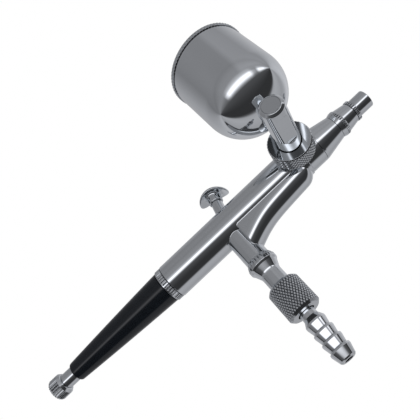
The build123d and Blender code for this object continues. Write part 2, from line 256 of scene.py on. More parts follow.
MATERIALS = {
    "chrome": chrome_material(),
    "black_lacquer": lacquer_material(),
    "brass": machined_material("turned_brass", (0.55, 0.40, 0.16), (0.74, 0.57, 0.28), 0.28),
    "steel": machined_material("ground_steel", (0.46, 0.46, 0.47), (0.62, 0.62, 0.63), 0.25),
    "seal": moulded_material("nitrile_rubber", (0.012, 0.012, 0.012), (0.03, 0.03, 0.03), 0.55),
    "packing": moulded_material("white_packing", (0.80, 0.80, 0.77), (0.90, 0.90, 0.88), 0.45),
}
SLOT_OF = {row["node"]: row["material_slot"] for row in frame["record"]["subparts"]}
BODY_OF = {
    node: body for body, nodes in frame["record"]["behaviour"]["bodies"].items() for node in nodes
}


# ---------------------------------------------------------------- meshes
def add_piece(name, points, faces, normals, node):
    """Makes one piece from points in millimetres, faces and one normal for each face corner."""
    mesh = bpy.data.meshes.new(name)
    mesh.from_pydata((points * MM).tolist(), [], faces)
    mesh.polygons.foreach_set("use_smooth", np.ones(len(mesh.polygons), bool))
    mesh.normals_split_custom_set(normals.tolist())
    mesh.materials.append(MATERIALS[SLOT_OF[node]])
    mesh.update()
    piece = bpy.data.objects.new(name, mesh)
    bpy.context.scene.collection.objects.link(piece)
    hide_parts(node)
    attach(piece, BODY_OF[node])
    return piece


def unit(vectors):
    length = np.linalg.norm(vectors, axis=-1, keepdims=True)
    return vectors / np.maximum(length, 1e-12)


NEARLY_STRAIGHT = math.radians(176)
CORNER_SHARE = 0.45
SMOOTH_TURN = math.radians(26)


def rounded(outline, rounding, steps=5):
    """The outline with its corners turned into arcs. A point may state its own rounding."""
    count = len(outline)
    points = [np.array(p[:2], float) for p in outline]
    made = []
    for i, point in enumerate(points):
        size = outline[i][2] if len(outline[i]) > 2 else rounding
        before = points[i - 1] - point
        after = points[(i + 1) % count] - point
        length_before = np.linalg.norm(before)
        length_after = np.linalg.norm(after)
        if size <= 0 or point[1] < 1e-6 or min(length_before, length_after) < 1e-9:
            made.append(point)
            continue
        before = before / length_before
        after = after / length_after
        turn = math.acos(max(-1.0, min(1.0, float(before @ after))))
        if turn > NEARLY_STRAIGHT:
            made.append(point)
            continue
        reach = min(size / math.tan(turn / 2), CORNER_SHARE * length_before, CORNER_SHARE * length_after)
        radius = reach * math.tan(turn / 2)
        towards = unit(before + after)
        centre = point + towards * radius / math.sin(turn / 2)
        start = point + before * reach - centre
        stop = point + after * reach - centre
        sweep = math.pi - turn
        for k in range(steps + 1):
            share = k / steps
            weights = math.sin((1 - share) * sweep), math.sin(share * sweep)
            made.append(centre + (weights[0] * start + weights[1] * stop) / math.sin(sweep))
    return made


def arc(centre, radius, first, last, steps):
    """Points of an arc in an outline, with the angles in degrees from the station axis."""
    angles = np.radians(np.linspace(first, last, steps + 1))
    return [(centre + radius * math.cos(a), radius * math.sin(a), 0) for a in angles]


def subdivided(points, band, rows):
    """Cuts the outline's long runs inside a knurled band into rows."""
    made = []
    for i, point in enumerate(points):
        follow = points[(i + 1) % len(points)]
        made.append(point)
        if in_band(point, band) and in_band(follow, band):
            pieces = max(1, int(round(rows * abs(follow[0] - point[0]) / (band[1] - band[0]))))
            made += [point + (follow - point) * k / pieces for k in range(1, pieces)]
    return made


def in_band(point, band):
    first, last, lowest = band[:3]
    return first - 1e-6 <= point[0] <= last + 1e-6 and point[1] >= lowest


def turned(node, axis, outline, rounding=0.12, segments=192, knurl=None, band=None, rows=40):
    """A piece turned about an axis, with rounded corners, true normals and an optional knurl.

    The outline is a closed list of (station, radius), in order round the section. The knurl is a
    function of angle and station that gives the depth cut, inside the band (first, last, radius).
    """
    points = rounded(outline, rounding)
    if knurl:
        points = subdivided(points, band, rows)
    points = [p for i, p in enumerate(points) if np.linalg.norm(p - points[i - 1]) > 1e-5]
    profile = np.array(points)
    if signed_area(profile) < 0:
        profile = profile[::-1]
    count = len(profile)
    angles = np.linspace(0, 2 * math.pi, segments, endpoint=False)
    station = np.repeat(profile[:, :1], segments, 1)
    radius = np.repeat(profile[:, 1:2], segments, 1)
    cut = np.zeros(count, bool)
    if knurl:
        cut = np.array([in_band(p, band) for p in profile])
        depth = knurl(angles[None, :], station)
        radius = radius - np.where(cut[:, None], depth, 0)
    grid = axis.place(station, radius * np.cos(angles), radius * np.sin(angles))
    starts, stops = section_normals(profile, axis, angles)
    if knurl:
        along = np.roll(grid, -1, 0) - np.roll(grid, 1, 0)
        around = np.roll(grid, -1, 1) - np.roll(grid, 1, 1)
        true = unit(np.cross(around, along))
        true *= np.sign((true * starts).sum(-1, keepdims=True))
        both = cut & np.roll(cut, -1)
        starts = np.where(both[:, None, None], true, starts)
        stops = np.where(both[:, None, None], np.roll(true, -1, 0), stops)
    return add_piece(node + "_finish", *stitched(grid, profile, starts, stops), node)


def signed_area(profile):
    """Twice the section's area, positive where its points run anticlockwise."""
    x, r = profile[:, 0], profile[:, 1]
    return float((x * np.roll(r, -1) - np.roll(x, -1) * r).sum())


def section_normals(profile, axis, angles):
    """Normals at both ends of each run of the section, shared where the section is smooth."""
    run = np.roll(profile, -1, 0) - profile
    length = np.linalg.norm(run, axis=1)
    direction = run / length[:, None]
    flat = np.stack([direction[:, 1], -direction[:, 0]], 1)
    before = np.roll(flat, 1, 0)
    smooth = (flat * before).sum(1) > math.cos(SMOOTH_TURN)
    shared = unit(flat * length[:, None] + before * np.roll(length, 1)[:, None])
    at_start = np.where(smooth[:, None], shared, flat)
    at_stop = np.where(np.roll(smooth, -1)[:, None], np.roll(shared, -1, 0), flat)
    made = []
    for normal in (at_start, at_stop):
        across = normal[:, 1:2] * np.cos(angles)
        up = normal[:, 1:2] * np.sin(angles)
        along = np.repeat(normal[:, :1], len(angles), 1)
        made.append(axis.place(along, across, up) - axis.origin)
    return made


def stitched(grid, profile, starts, stops):
    """Joins the rings of a turned piece into faces. A ring on the axis becomes one point."""
    count, segments = grid.shape[:2]
    on_axis = profile[:, 1] < 1e-6
    first = np.zeros(count, int)
    points = []
    total = 0
    for i in range(count):
        first[i] = total
        ring = grid[i, :1] if on_axis[i] else grid[i]
        points.append(ring)
        total += len(ring)
    faces = []
    normals = []
    turn = np.arange(segments)
    follow = (turn + 1) % segments
    for i in range(count):
        k = (i + 1) % count
        if on_axis[i] and on_axis[k]:
            continue
        a = np.full(segments, first[i]) if on_axis[i] else first[i] + turn
        b = np.full(segments, first[k]) if on_axis[k] else first[k] + turn
        c = first[k] + follow
        d = first[i] + follow
        corners = [(a, starts[i]), (b, stops[i]), (c, stops[i][follow]), (d, starts[i][follow])]
        if on_axis[i]:
            corners = corners[:3]
        if on_axis[k]:
            corners = [corners[0], corners[1], corners[3]]
        faces.append(np.stack([corner[0] for corner in corners], 1).tolist())
        normals.append(np.stack([corner[1] for corner in corners], 1).reshape(-1, 3))
    return np.concatenate(points), [face for part in faces for face in part], np.concatenate(normals)


def wave(turns):
    """A triangle wave: 0 at whole turns and 1 half way between them."""
    part = turns - np.floor(turns)
    return 1 - np.abs(2 * part - 1)


def straight_knurl(count, depth, sharpness=0.75):
    """Straight ridges along the axis, with V grooves between them."""

    def cut(angle, station):
        ridge = np.clip(wave(count * angle / (2 * math.pi)) / sharpness, 0, 1)
        return depth * (1 - ridge) + 0 * station

    return cut


def diamond_knurl(count, pitch, depth, land=0.75):
    """Crossed grooves that leave rows of small pyramids. The pitch is along the axis."""

    def cut(angle, station):
        turns = count * angle / (2 * math.pi)
        one = wave(turns + station / pitch)
        other = wave(turns - station / pitch)
        return depth * (1 - np.clip(np.minimum(one, other) / land, 0, 1))

    return cut


# ---------------------------------------------------------------- solids from distance fields
def rod(station, radial, first, last, radius, edge):
    """Distance to a rod with rounded edges."""
    half = (last - first) / 2
    q_station = np.abs(station - (first + last) / 2) - half + edge
    q_radial = radial - radius + edge
    outside = np.hypot(np.maximum(q_station, 0), np.maximum(q_radial, 0))
    return outside + np.minimum(np.maximum(q_station, q_radial), 0) - edge


def joined(a, b, fillet):
    """The union of two solids, with a fillet where they meet."""
    h = np.clip(0.5 + 0.5 * (b - a) / fillet, 0, 1)
    return b + (a - b) * h - fillet * h * (1 - h)


def cut_away(solid, tool, edge=0.12):
    """The solid less the tool, with a slightly rounded edge."""
    return -joined(-solid, tool, edge)


def surface_net(field, low, high, step):
    """Points and four-sided faces on the zero surface of a distance field."""
    counts = [int(math.ceil((h - l) / step)) + 1 for l, h in zip(low, high)]
    lines = [l + step * np.arange(n) for l, n in zip(low, counts)]
    value = field(*np.meshgrid(*lines, indexing="ij"))
    inside = value < 0
    offsets = [(i, j, k) for i in (0, 1) for j in (0, 1) for k in (0, 1)]
    cells = [n - 1 for n in counts]

    def corner(array, offset):
        return array[tuple(slice(o, o + n) for o, n in zip(offset, cells))]

    total = sum(corner(inside, o).astype(np.int8) for o in offsets)
    active = (total > 0) & (total < 8)
    where = np.argwhere(active)
    index = np.full(active.shape, -1)
    index[active] = np.arange(len(where))
    corner_values = {o: corner(value, o)[active] for o in offsets}
    sums = np.zeros((len(where), 3))
    hits = np.zeros(len(where))
    for o in offsets:
        for axis in range(3):
            if o[axis]:
                continue
            far = tuple(1 if i == axis else o[i] for i in range(3))
            a, b = corner_values[o], corner_values[far]
            crossing = (a < 0) != (b < 0)
            share = np.where(crossing, a / np.where(crossing, a - b, 1), 0)
            spot = np.repeat(np.array([o], float), len(where), 0)
            spot[:, axis] += share
            sums += spot * crossing[:, None]
            hits += crossing
    points = np.array(low) + step * (where + sums / hits[:, None])
    faces = []
    for axis in range(3):
        b, c = (axis + 1) % 3, (axis + 2) % 3
        near = np.take(inside, range(counts[axis] - 1), axis)
        far = np.take(inside, range(1, counts[axis]), axis)
        spots = np.argwhere(near != far)
        spots = spots[(spots[:, b] > 0) & (spots[:, c] > 0)]
        spots = spots[(spots[:, b] < counts[b] - 1) & (spots[:, c] < counts[c] - 1)]
        leaving = near[tuple(spots.T)]
        step_b = np.eye(3, dtype=int)[b]
        step_c = np.eye(3, dtype=int)[c]
        round_edge = [spots - step_b - step_c, spots - step_c, spots, spots - step_b]
        quads = np.stack([index[tuple(cell.T)] for cell in round_edge], 1)
        quads[~leaving] = quads[~leaving][:, ::-1]
        faces.append(quads)
    return points, np.concatenate(faces)


def slope(field, points, reach=0.01):
    """The field's gradient at points."""
    made = []
    for axis in range(3):
        shift = np.zeros(3)
        shift[axis] = reach
        made.append((field(*(points + shift).T) - field(*(points - shift).T)) / (2 * reach))
    return np.stack(made, 1)


SETTLE_ROUNDS = 4


def carved(node, field, step, margin=0.6):
    """A piece whose surface is where the distance field is zero, in the row frame."""
    low, high = box_mm(node)
    points, faces = surface_net(field, low - margin, high + margin, step)
    for _ in range(SETTLE_ROUNDS):
        gradient = slope(field, points)
        size = np.maximum((gradient**2).sum(1), 0.05)
        points = points - gradient * (field(*points.T) / size)[:, None]
    normals = unit(slope(field, points))
    return add_piece(node + "_finish", points, faces.tolist(), normals[faces.ravel()], node)


# ---------------------------------------------------------------- body shell
BARREL_REAR = ends("body_shell")[0]
NOSE_STEP = 34.0
SPIGOT_END = ends("body_shell")[1]
NOSE_END = ends("head")[0] - 0.03
BARREL_R = 6.5
NOSE_R = 6.2
SPIGOT_R = 5.0
HOUSING_R = 4.35
HOUSING_BOTTOM = ends("body_shell", 2)[0]
BOSS_R = 4.6
BOSS_BORE_START = 2.5
BOSS_BORE_R = 2.4
BOSS_FACE = -ends("body_shell", 1)[0]
WEB_HALF = 5.2
WEB_REAR = 2.2
WEB_REAR_EDGE = 1.2
WEB_FRONT = 29.1
WEB_FRONT_Z = -3.4
WEB_SLOPES = (0.478, 0.082)
WEB_BEND_X = 10.9
WEB_BEND_SOFTNESS = 2.6


def web_line(x):
    """Height of the rib's centre line: two straight runs with a soft bend between them."""
    steep, gentle = WEB_SLOPES
    bend_z = WEB_FRONT_Z - gentle * (WEB_FRONT - WEB_BEND_X)
    run = x - WEB_BEND_X
    soft = WEB_BEND_SOFTNESS * np.logaddexp(0, -run / WEB_BEND_SOFTNESS)
    return bend_z + gentle * run - (steep - gentle) * soft


def web(x, y, z):
    below = np.maximum((web_line(x) - z) * 0.95, 0)
    ahead = np.maximum(x - WEB_FRONT, 0)
    bar = np.sqrt(below**2 + ahead**2 + y**2) - WEB_HALF
    return cut_away(np.maximum(bar, z), x - WEB_REAR, WEB_REAR_EDGE)


def body_shell(x, y, z):
    """The barrel with its nose, rib, valve housing and boss, less its bores and the trigger's slot."""
    x = x - VALVE_X
    around_x = np.hypot(y, z)
    around_z = np.hypot(x, y)
    shell = rod(x, around_x, BARREL_REAR, NOSE_STEP, BARREL_R, 0.12)
    shell = joined(shell, rod(x, around_x, NOSE_STEP - 4, NOSE_END, NOSE_R, 0.1), 0.15)
    rib = joined(web(x, y, z), rod(z, around_z, HOUSING_BOTTOM, -1, HOUSING_R, 0.1), 0.2)
    shell = joined(shell, rib, 0.15)
    around_boss = np.hypot(x - SOCKET_X, z)
    shell = joined(shell, rod(-y, around_boss, 0, BOSS_FACE, BOSS_R, 0.15), 0.2)
    shell = joined(shell, rod(x, around_x, NOSE_END - 2, SPIGOT_END, SPIGOT_R, 0.15), 0.02)
    for first, last, radius in BARREL_BORES:
        shell = cut_away(shell, rod(x, around_x, first, last, radius, 0.05))
    for first, last, radius in VALVE_BORES:
        shell = cut_away(shell, rod(z, around_z, first, last, radius, 0.05))
    bore = rod(-y, around_boss, BOSS_BORE_START, BOSS_FACE + 2, BOSS_BORE_R, 0.05)
    shell = cut_away(shell, bore)
    return cut_away(shell, trigger_slot(x, y, z), 0.25)


BARREL_BORES = [
    (BARREL_REAR - 2, -20.0, 5.3),
    (-21.0, 9.5, 4.7),
    (9.0, 17.5, 2.6),
    (17.0, 24.0, 0.75),
    (23.5, 36.5, 1.6),
    (36.0, SPIGOT_END + 2, 2.6),
]
VALVE_BORES = [
    (HOUSING_BOTTOM - 2, -9.8, 3.2),
    (-10.0, -2.0, 1.9),
]
SLOT_ENDS = (-4.6, 8.4)
SLOT_W = 4.8
SLOT_FLOOR_Z = 2.0


def trigger_slot(x, y, z):
    """Distance to the slot with round ends that the trigger moves in, open at the top."""
    rear, front = SLOT_ENDS
    straight = (front - rear - SLOT_W) / 2
    ahead = np.maximum(np.abs(x - (rear + front) / 2) - straight, 0)
    return np.maximum(np.hypot(ahead, y) - SLOT_W / 2, SLOT_FLOOR_Z - z)


# ---------------------------------------------------------------- trigger stem and arm
def along_trigger(x, y, z):
    """Coordinates in the trigger's own leaning frame, from its pivot."""
    dx, dz = x - TRIGGER_PIVOT[0], z - TRIGGER_PIVOT[2]
    return dx * LEAN_SIDE[0] + dz * LEAN_SIDE[2], y, dx * LEAN_ALONG[0] + dz * LEAN_ALONG[2]


def block(x, y, z, centre, size, edge):
    """Distance to a block with rounded edges."""
    q = [np.abs(v - c) - s / 2 + edge for v, c, s in zip((x, y, z), centre, size)]
    outside = np.sqrt(sum(np.maximum(v, 0) ** 2 for v in q))
    return outside + np.minimum(np.maximum(np.maximum(q[0], q[1]), q[2]), 0) - edge


STEM_SHOULDER_Z = 9.0
STEM_TOP_Z = 16.4
STEM_R = 2.1
TONGUE_CENTRE = (STEM_OFFSET, 0, 5.425)
TONGUE_SIZE = (3.4, 3.1, 7.35)
NECK_TOP_Z = 2.0
NECK_R = 1.0
FOOT_HALF_W = 1.0
FOOT_R = 1.5
NEEDLE_SLOT_CENTRE = (STEM_OFFSET, 0, 5.0)
NEEDLE_SLOT_SIZE = (9, 1.6, 5.4)


def trigger_stem(x, y, z):
    """A round stem, a flat tongue slotted for the needle, and a cross bar as its foot."""
    x, y, z = along_trigger(x, y, z)
    stem = rod(z, np.hypot(x - STEM_OFFSET, y), STEM_SHOULDER_Z, STEM_TOP_Z, STEM_R, 0.15)
    tongue = block(x, y, z, TONGUE_CENTRE, TONGUE_SIZE, 0.2)
    neck = rod(z, np.hypot(x, y), 0, NECK_TOP_Z, NECK_R, 0.05)
    foot = rod(y, np.hypot(x, z), -FOOT_HALF_W, FOOT_HALF_W, FOOT_R, 0.15)
    stem = joined(joined(stem, tongue, 0.3), joined(neck, foot, 0.2), 0.1)
    return cut_away(stem, block(x, y, z, NEEDLE_SLOT_CENTRE, NEEDLE_SLOT_SIZE, 0.3), 0.1)


PAD_UNDER_Z = 17.9
PAD_BEND_R = 9.0
PAD_T = 0.9
PAD_FLOOR_Z = 13
PAD_HALF_L = 5.8
PAD_HALF_W = 4.6
PAD_EDGE = 0.38
HUB_BOTTOM_Z = 14.4
HUB_R = 2.65
HUB_EDGE = 0.5
HUB_FILLET = 1.4
STEM_HOLE_TOP_Z = 16.45
STEM_HOLE_R = 2.13


def trigger_button(x, y, z):
    """An oval finger pad that curves down in front and behind, on a short hub."""
    x, y, z = along_trigger(x, y, z)
    x = x - STEM_OFFSET
    around = np.hypot(x, z - PAD_UNDER_Z + PAD_BEND_R)
    plate = np.abs(around - PAD_BEND_R - PAD_T / 2) - PAD_T / 2 + PAD_EDGE
    oval = (np.hypot(x / PAD_HALF_L, y / PAD_HALF_W) - 1) * PAD_HALF_W + PAD_EDGE
    outside = np.hypot(np.maximum(plate, 0), np.maximum(oval, 0))
    pad = outside + np.minimum(np.maximum(plate, oval), 0) - PAD_EDGE
    pad = np.maximum(pad, PAD_FLOOR_Z - z)
    hub = rod(z, np.hypot(x, y), HUB_BOTTOM_Z, PAD_UNDER_Z + 0.3, HUB_R, HUB_EDGE)
    pad = joined(pad, hub, HUB_FILLET)
    stem_hole = rod(z, np.hypot(x, y), PAD_FLOOR_Z, STEM_HOLE_TOP_Z, STEM_HOLE_R, 0.02)
    return cut_away(pad, stem_hole, 0.05)


ARM_R = 4.0
ARM_END = -ends("cup_elbow", 1)[0]
ARM_SHOULDER = 12.2
ARM_FLAT_Z = -3.5
ARM_FLAT_W = 4.4
ARM_FLAT_L = 13.4
ARM_FLAT_CENTRE = 24.6
ARM_CHAMFER = 0.8
ARM_NECK_R = 2.95
ARM_PIN_START = 3.0
ARM_PIN_R = 2.37
DRILLING_START = 2
DRILLING_R = 1.3
PLUG_HOLE_L = 3.0
PLUG_HOLE_R = 2.9
CUP_PASSAGE_TOP = 2.2
CUP_SOCKET_FLOOR = 1.8
CUP_SOCKET_R = 2.4


def cup_elbow(x, y, z):
    """The drilled arm: a pin in the boss, a neck through the lock nut, a flat and the cup's socket."""
    x = x - VALVE_X - SOCKET_X
    station = -y
    around = np.hypot(x, z)
    arm = rod(station, around, ARM_SHOULDER, ARM_END, ARM_R, 0.1)
    beyond_chamfer = (ARM_END + ARM_R - ARM_CHAMFER - station - around) * math.sqrt(0.5)
    arm = cut_away(arm, beyond_chamfer, 0.12)
    neck = rod(station, around, BOSS_FACE + 0.3, ARM_SHOULDER + 1, ARM_NECK_R, 0.1)
    arm = joined(arm, neck, 0.1)
    pin = rod(station, around, ARM_PIN_START, ARM_SHOULDER, ARM_PIN_R, 0.1)
    arm = joined(arm, pin, 0.05)
    run = np.maximum(np.abs(station - ARM_FLAT_CENTRE) - (ARM_FLAT_L - ARM_FLAT_W) / 2, 0)
    flat = np.maximum(np.hypot(run, x) - ARM_FLAT_W / 2, z - ARM_FLAT_Z)
    arm = cut_away(arm, flat, 0.08)
    arm = cut_away(arm, rod(station, around, DRILLING_START, ARM_END + 1, DRILLING_R, 0.05))
    plug_hole = rod(station, around, ARM_END - PLUG_HOLE_L, ARM_END + 1, PLUG_HOLE_R, 0.05)
    arm = cut_away(arm, plug_hole, 0.04)
    around_cup = np.hypot(x, station - CUP_Y)
    arm = cut_away(arm, rod(z, around_cup, 0, CUP_PASSAGE_TOP, DRILLING_R, 0.05))
    return cut_away(arm, rod(z, around_cup, CUP_SOCKET_FLOOR, ARM_R + 2, CUP_SOCKET_R, 0.05))


# ---------------------------------------------------------------- turned pieces
def head():
    rear, front = ends("head")
    rim = radius_of("head")
    outline = [
        (rear, SPIGOT_R + 0.03),
        (rear, rim),
        (rear + 0.8, rim),
        (front, 4.5),
        (front, 3.9),
        (45.0, 3.9),
        (45.0, SPIGOT_R + 0.03),
    ]
    turned("head", BARREL, outline, 0.1)


def nozzle_cap():
    front = ends("nozzle_cap")[1]
    ring_front = 52.4
    outline = [
        (46.8, 2.9),
        (46.8, 3.87),
        (49.6, 3.87),
        (49.6, 4.4),
        (51.0, 4.85, 0.3),
        # The knurled band starts at the next point.
        (51.28, 4.85, 0),
        (51.34, 4.85, 0),
        (ring_front - 0.3, 4.85, 0.2),
        (ring_front + 0.2, 4.5, 0.05),
        (57.0, 3.7),
        (57.0, 2.9),
        (front, 2.9),
        (front, 1.5),
        (57.0, 1.5),
        (52.5, 2.6),
    ]
    notches = straight_knurl(36, 0.42, 0.4)
    turned("nozzle_cap", BARREL, outline, 0.06, 504, notches, (51.27, ring_front + 0.15, 4.5), 8)


def needle_cap():
    rear, front = ends("needle_cap")
    outline = [
        (rear, 2.93),
        (rear, 3.75),
        (57.1, 3.95, 0.15),
        (58.3, 3.95, 0.12),
        (58.45, 3.3, 0.05),
        (front, 3.3, 0.3),
        (front, 2.5, 0.1),
        (front - 0.4, 2.3),
        (59.6, 2.3),
        (59.6, 2.93),
    ]
    notches = straight_knurl(28, 0.4, 0.4)
    turned("needle_cap", BARREL, outline, 0.05, 448, notches, (57.0, 58.4, 3.75), 8)


def handle_ring():
    front = ends("body_shell")[0] - 0.03
    ring = radius_of("handle_ring")
    outline = [
        (-20.6, 4.1),
        (-20.6, 5.27),
        (front, 5.27),
        (front, ring - 0.3),
        (front - 0.27, ring),
        # The knurled band ends between the next two points.
        (-29.25, ring, 0),
        (-29.31, ring, 0),
        (-29.5, ring),
        (-29.75, ring - 0.3),
        (-29.75, 4.9),
        (-36.0, 4.9),
        (-36.0, 4.1),
    ]
    ridges = straight_knurl(38, 0.28, 0.5)
    turned("handle_ring", BARREL, outline, 0.05, 532, ridges, (-29.26, front - 0.2, ring - 0.2), 12)


def handle():
    rear, front = ends("handle")
    widest = radius_of("handle")
    narrow = 3.6
    bow = 0.12
    steps = 24
    surface = []
    for k in range(steps + 1):
        share = k / steps
        radius = widest + (narrow - widest) * share + bow * 4 * share * (1 - share)
        surface.append((front + (rear + 0.6 - front) * share, radius, 0))
    outline = [(front, 4.95), (front, widest - 0.25, 0)]
    surface[0] = (front - 0.2, widest, 0)
    outline += surface
    outline += [
        (rear + 0.25, narrow - 0.12, 0),
        (rear, narrow - 0.45, 0.1),
        (rear, 2.86),
        (-66.5, 2.86),
        (-66.5, 3.05),
        (-63.0, 3.05),
        (-62.8, 3.3),
        (-46.8, 3.6),
        (-46.6, 4.3),
        (-36.3, 4.3),
        (-36.3, 4.95),
    ]
    turned("handle", BARREL, outline, 0.05)


def stop_screw():
    rear, front = ends("stop_screw")
    knob = ends("stop_knob")[1]
    outline = [
        (rear, 0),
        (rear, 1.4),
        (knob, 1.4),
        (knob + 0.03, 2.8, 0.1),
        (-70.6, 2.8, 0.1),
        (-70.3, 1.4),
        (front, 1.4),
        (front, 0),
    ]
    turned("stop_screw", BARREL, outline, 0.05)


def stop_knob():
    rear, front = ends("stop_knob")
    knob = radius_of("stop_knob")
    outline = [
        (rear, 0),
        (rear, knob - 1.2, 0.3),
        (rear + 0.25, knob - 0.5, 0.3),
        (rear + 0.95, knob, 0.3),
        (front - 1.1, knob, 0.2),
        (front - 0.15, knob - 0.7, 0.3),
        (front, knob - 1.2, 0.1),
        (front, 1.43),
        (-82.5, 1.43),
        (-82.5, 0),
    ]
    ridges = straight_knurl(24, 0.34, 1.0)
    turned("stop_knob", BARREL, outline, 0.06, 480, ridges, (rear + 0.2, front - 1.05, 3.4), 14)


def valve_casing():
    collar = radius_of("valve_casing", 2)
    bottom, top = ends("valve_casing", 2)
    face = HOUSING_BOTTOM - 0.03
    waist = 3.55
    bore = 2.2
    outline = [
        (top, 1.0),
        (top, 3.17),
        (face, 3.17),
        (face, 4.6, 0.15),
        (-17.2, 4.9, 0.3),
        (-18.1, collar, 0.3),
        (-19.3, collar, 0.5),
        (-20.0, collar - 0.5, 0.4),
        (-22.7, waist, 3.5),
        (-27.6, waist, 0.5),
        (-28.3, 4.0),
        (bottom, 4.0),
        (bottom, 2.6),
        (-33.2, bore),
        (-12.8, bore),
        (-12.8, 1.0),
    ]
    ribs = straight_knurl(26, 0.42, 0.6)
    turned("valve_casing", VALVE, outline, 0.08, 468, ribs, (-18.4, -16.8, 4.55), 10)


def union_nut():
    bottom, top = ends("union_nut", 2)
    nut = radius_of("union_nut", 2)
    lip = 3.0
    seat = -37.0
    outline = [
        (top, 4.06),
        (top, nut - 0.85),
        (top - 0.9, nut, 0.05),
        (bottom + 0.9, nut, 0.05),
        (bottom, nut - 0.85),
        (bottom, lip),
        (seat, lip),
        (seat, 4.06),
    ]
    diamonds = diamond_knurl(36, 1.5, 0.42, 0.32)
    turned("union_nut", VALVE, outline, 0.08, 576, diamonds, (bottom + 0.88, top - 0.88, nut - 0.1), 110)


def hose_barb():
    bottom, top = ends("hose_barb", 2)
    widest = 3.55
    root = 2.95
    outline = [
        (top, 1.5),
        (top, 2.3),
        (-35.2, 3.7),
        (-36.9, 3.7),
        (-36.9, 2.6, 0.2),
        (-41.6, 2.6, 0.5),
    ]
    for tip in (-43.3, -46.7, -50.1, -53.5):
        outline += [(tip, widest, 0.15), (tip - 0.6, widest, 0.1), (tip - 3.2, root, 0.15)]
    outline[-1] = (bottom + 0.4, 2.75, 0.3)
    outline += [(bottom, 2.3, 0.3), (bottom, 1.5, 0.1)]
    turned("hose_barb", VALVE, outline, 0.06)


def elbow_plug():
    outline = [
        (ARM_END - 2.9, 0),
        (ARM_END - 2.9, 2.87),
        (ARM_END - 0.02, 2.87),
        (ARM_END - 0.02, 0),
    ]
    turned("elbow_plug", ARM, outline, 0.08)


def cup_bowl():
    cup = radius_of("cup_bowl", 2)
    inner = cup - 0.8
    ball = 18.9
    rim = 37.0
    drain = 1.2
    touch = math.degrees(math.asin(2.7 / cup))
    outline = [(1.9, drain), (1.9, 2.37), (4.02, 2.37), (4.02, 3.3), (4.5, 3.3)]
    outline += [(ball - cup * math.cos(math.radians(touch)) - 0.05, 2.6, 0.15)]
    outline += arc(ball, cup, 180 - touch - 1.5, 90, 40)
    outline += [(rim, cup, 0.1), (rim, inner, 0.1)]
    outline += arc(ball, inner, 90, 180 - math.degrees(math.asin(drain / inner)), 40)
    turned("cup_bowl", CUP, outline, 0.08, 256)


def cup_lid():
    lid = radius_of("cup_lid", 2)
    inner = 13.8
    seat = 37.03
    top = 38.6
    vent = 0.6
    outline = [
        (34.6, inner - 0.4),
        (34.6, inner - 0.03),
        (seat, inner - 0.03),
        (seat, 14.2, 0.03),
        (seat + 0.18, 14.2, 0.03),
        (seat + 0.2, lid, 0.05),
        (top - 0.15, lid, 0.05),
        (top, lid - 0.2, 0.1),
        (top + 0.5, 9.0, 4.0),
        (top + 0.68, vent, 0.1),
        (top - 0.3, vent, 0.05),
        (top - 0.6, inner - 0.4, 0.3),
    ]
    edge = straight_knurl(78, 0.3, 0.6)
    turned("cup_lid", CUP, outline, 0.06, 936, edge, (seat + 0.19, top - 0.13, lid - 0.1), 6)


def lock_nut():
    front, rear = -ends("lock_nut", 1)[0], -ends("lock_nut", 1)[1]
    nut = radius_of("lock_nut", 1)
    bore = 2.98
    outline = [
        (rear, bore),
        (rear, nut - 0.5),
        (rear + 0.5, nut, 0.05),
        (front - 0.35, nut, 0.05),
        (front, nut - 0.3, 0.1),
        (front - 0.25, ARM_R + 0.25, 0.05),
        (ARM_SHOULDER - 0.6, ARM_R + 0.25),
        (ARM_SHOULDER - 0.6, bore),
    ]
    diamonds = diamond_knurl(40, 1.4, 0.4, 0.32)
    turned("lock_nut", ARM, outline, 0.06, 640, diamonds, (rear + 0.48, front - 0.33, nut - 0.1), 80)


carved("body_shell", body_shell, 0.24)
carved("cup_elbow", cup_elbow, 0.16)
carved("trigger_stem", trigger_stem, 0.16)
carved("trigger_button", trigger_button, 0.09)
for make in (
    head,
    nozzle_cap,
    needle_cap,
    handle_ring,
    handle,
    stop_screw,
    stop_knob,
    valve_casing,
    union_nut,
    hose_barb,
    elbow_plug,
    cup_bowl,
    cup_lid,
    lock_nut,
):
    make()

for node, piece in frame["nodes"].items():
    piece.data.materials.clear()
    piece.data.materials.append(MATERIALS[SLOT_OF[node]])


def shortened(node):
    """A coil spring, given its own copy of its mesh."""
    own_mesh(frame["nodes"][node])


shortened("needle_spring")
shortened("valve_spring")


# ---------------------------------------------------------------- studio
CAMERA_PLACE = (5.29, -143.88, -81.72)
CAMERA_RIGHT = Vector((0.72466, 0.39379, -0.56551))
CAMERA_UP = Vector((0.68818, -0.37092, 0.62356))
CAMERA_BACK = Vector((0.03579, -0.84104, -0.53978))
SENSOR = 36.0
FOCAL_LENGTH = 41.14


def add_camera():
    """Looks up from below, on the cup's side of the airbrush, with the camera rolled over."""
    data = bpy.data.cameras.new("camera")
    data.sensor_width = SENSOR
    data.lens = FOCAL_LENGTH
    data.clip_start = 0.005
    data.clip_end = 10
    camera = bpy.data.objects.new("camera", data)
    bpy.context.scene.collection.objects.link(camera)
    turn = Matrix((CAMERA_RIGHT, CAMERA_UP, CAMERA_BACK)).transposed()
    camera.rotation_mode = "QUATERNION"
    camera.rotation_quaternion = turn.to_quaternion()
    x, y, z = CAMERA_PLACE
    camera.location = ((x + VALVE_X) * MM, y * MM, z * MM)
    bpy.context.scene.camera = camera


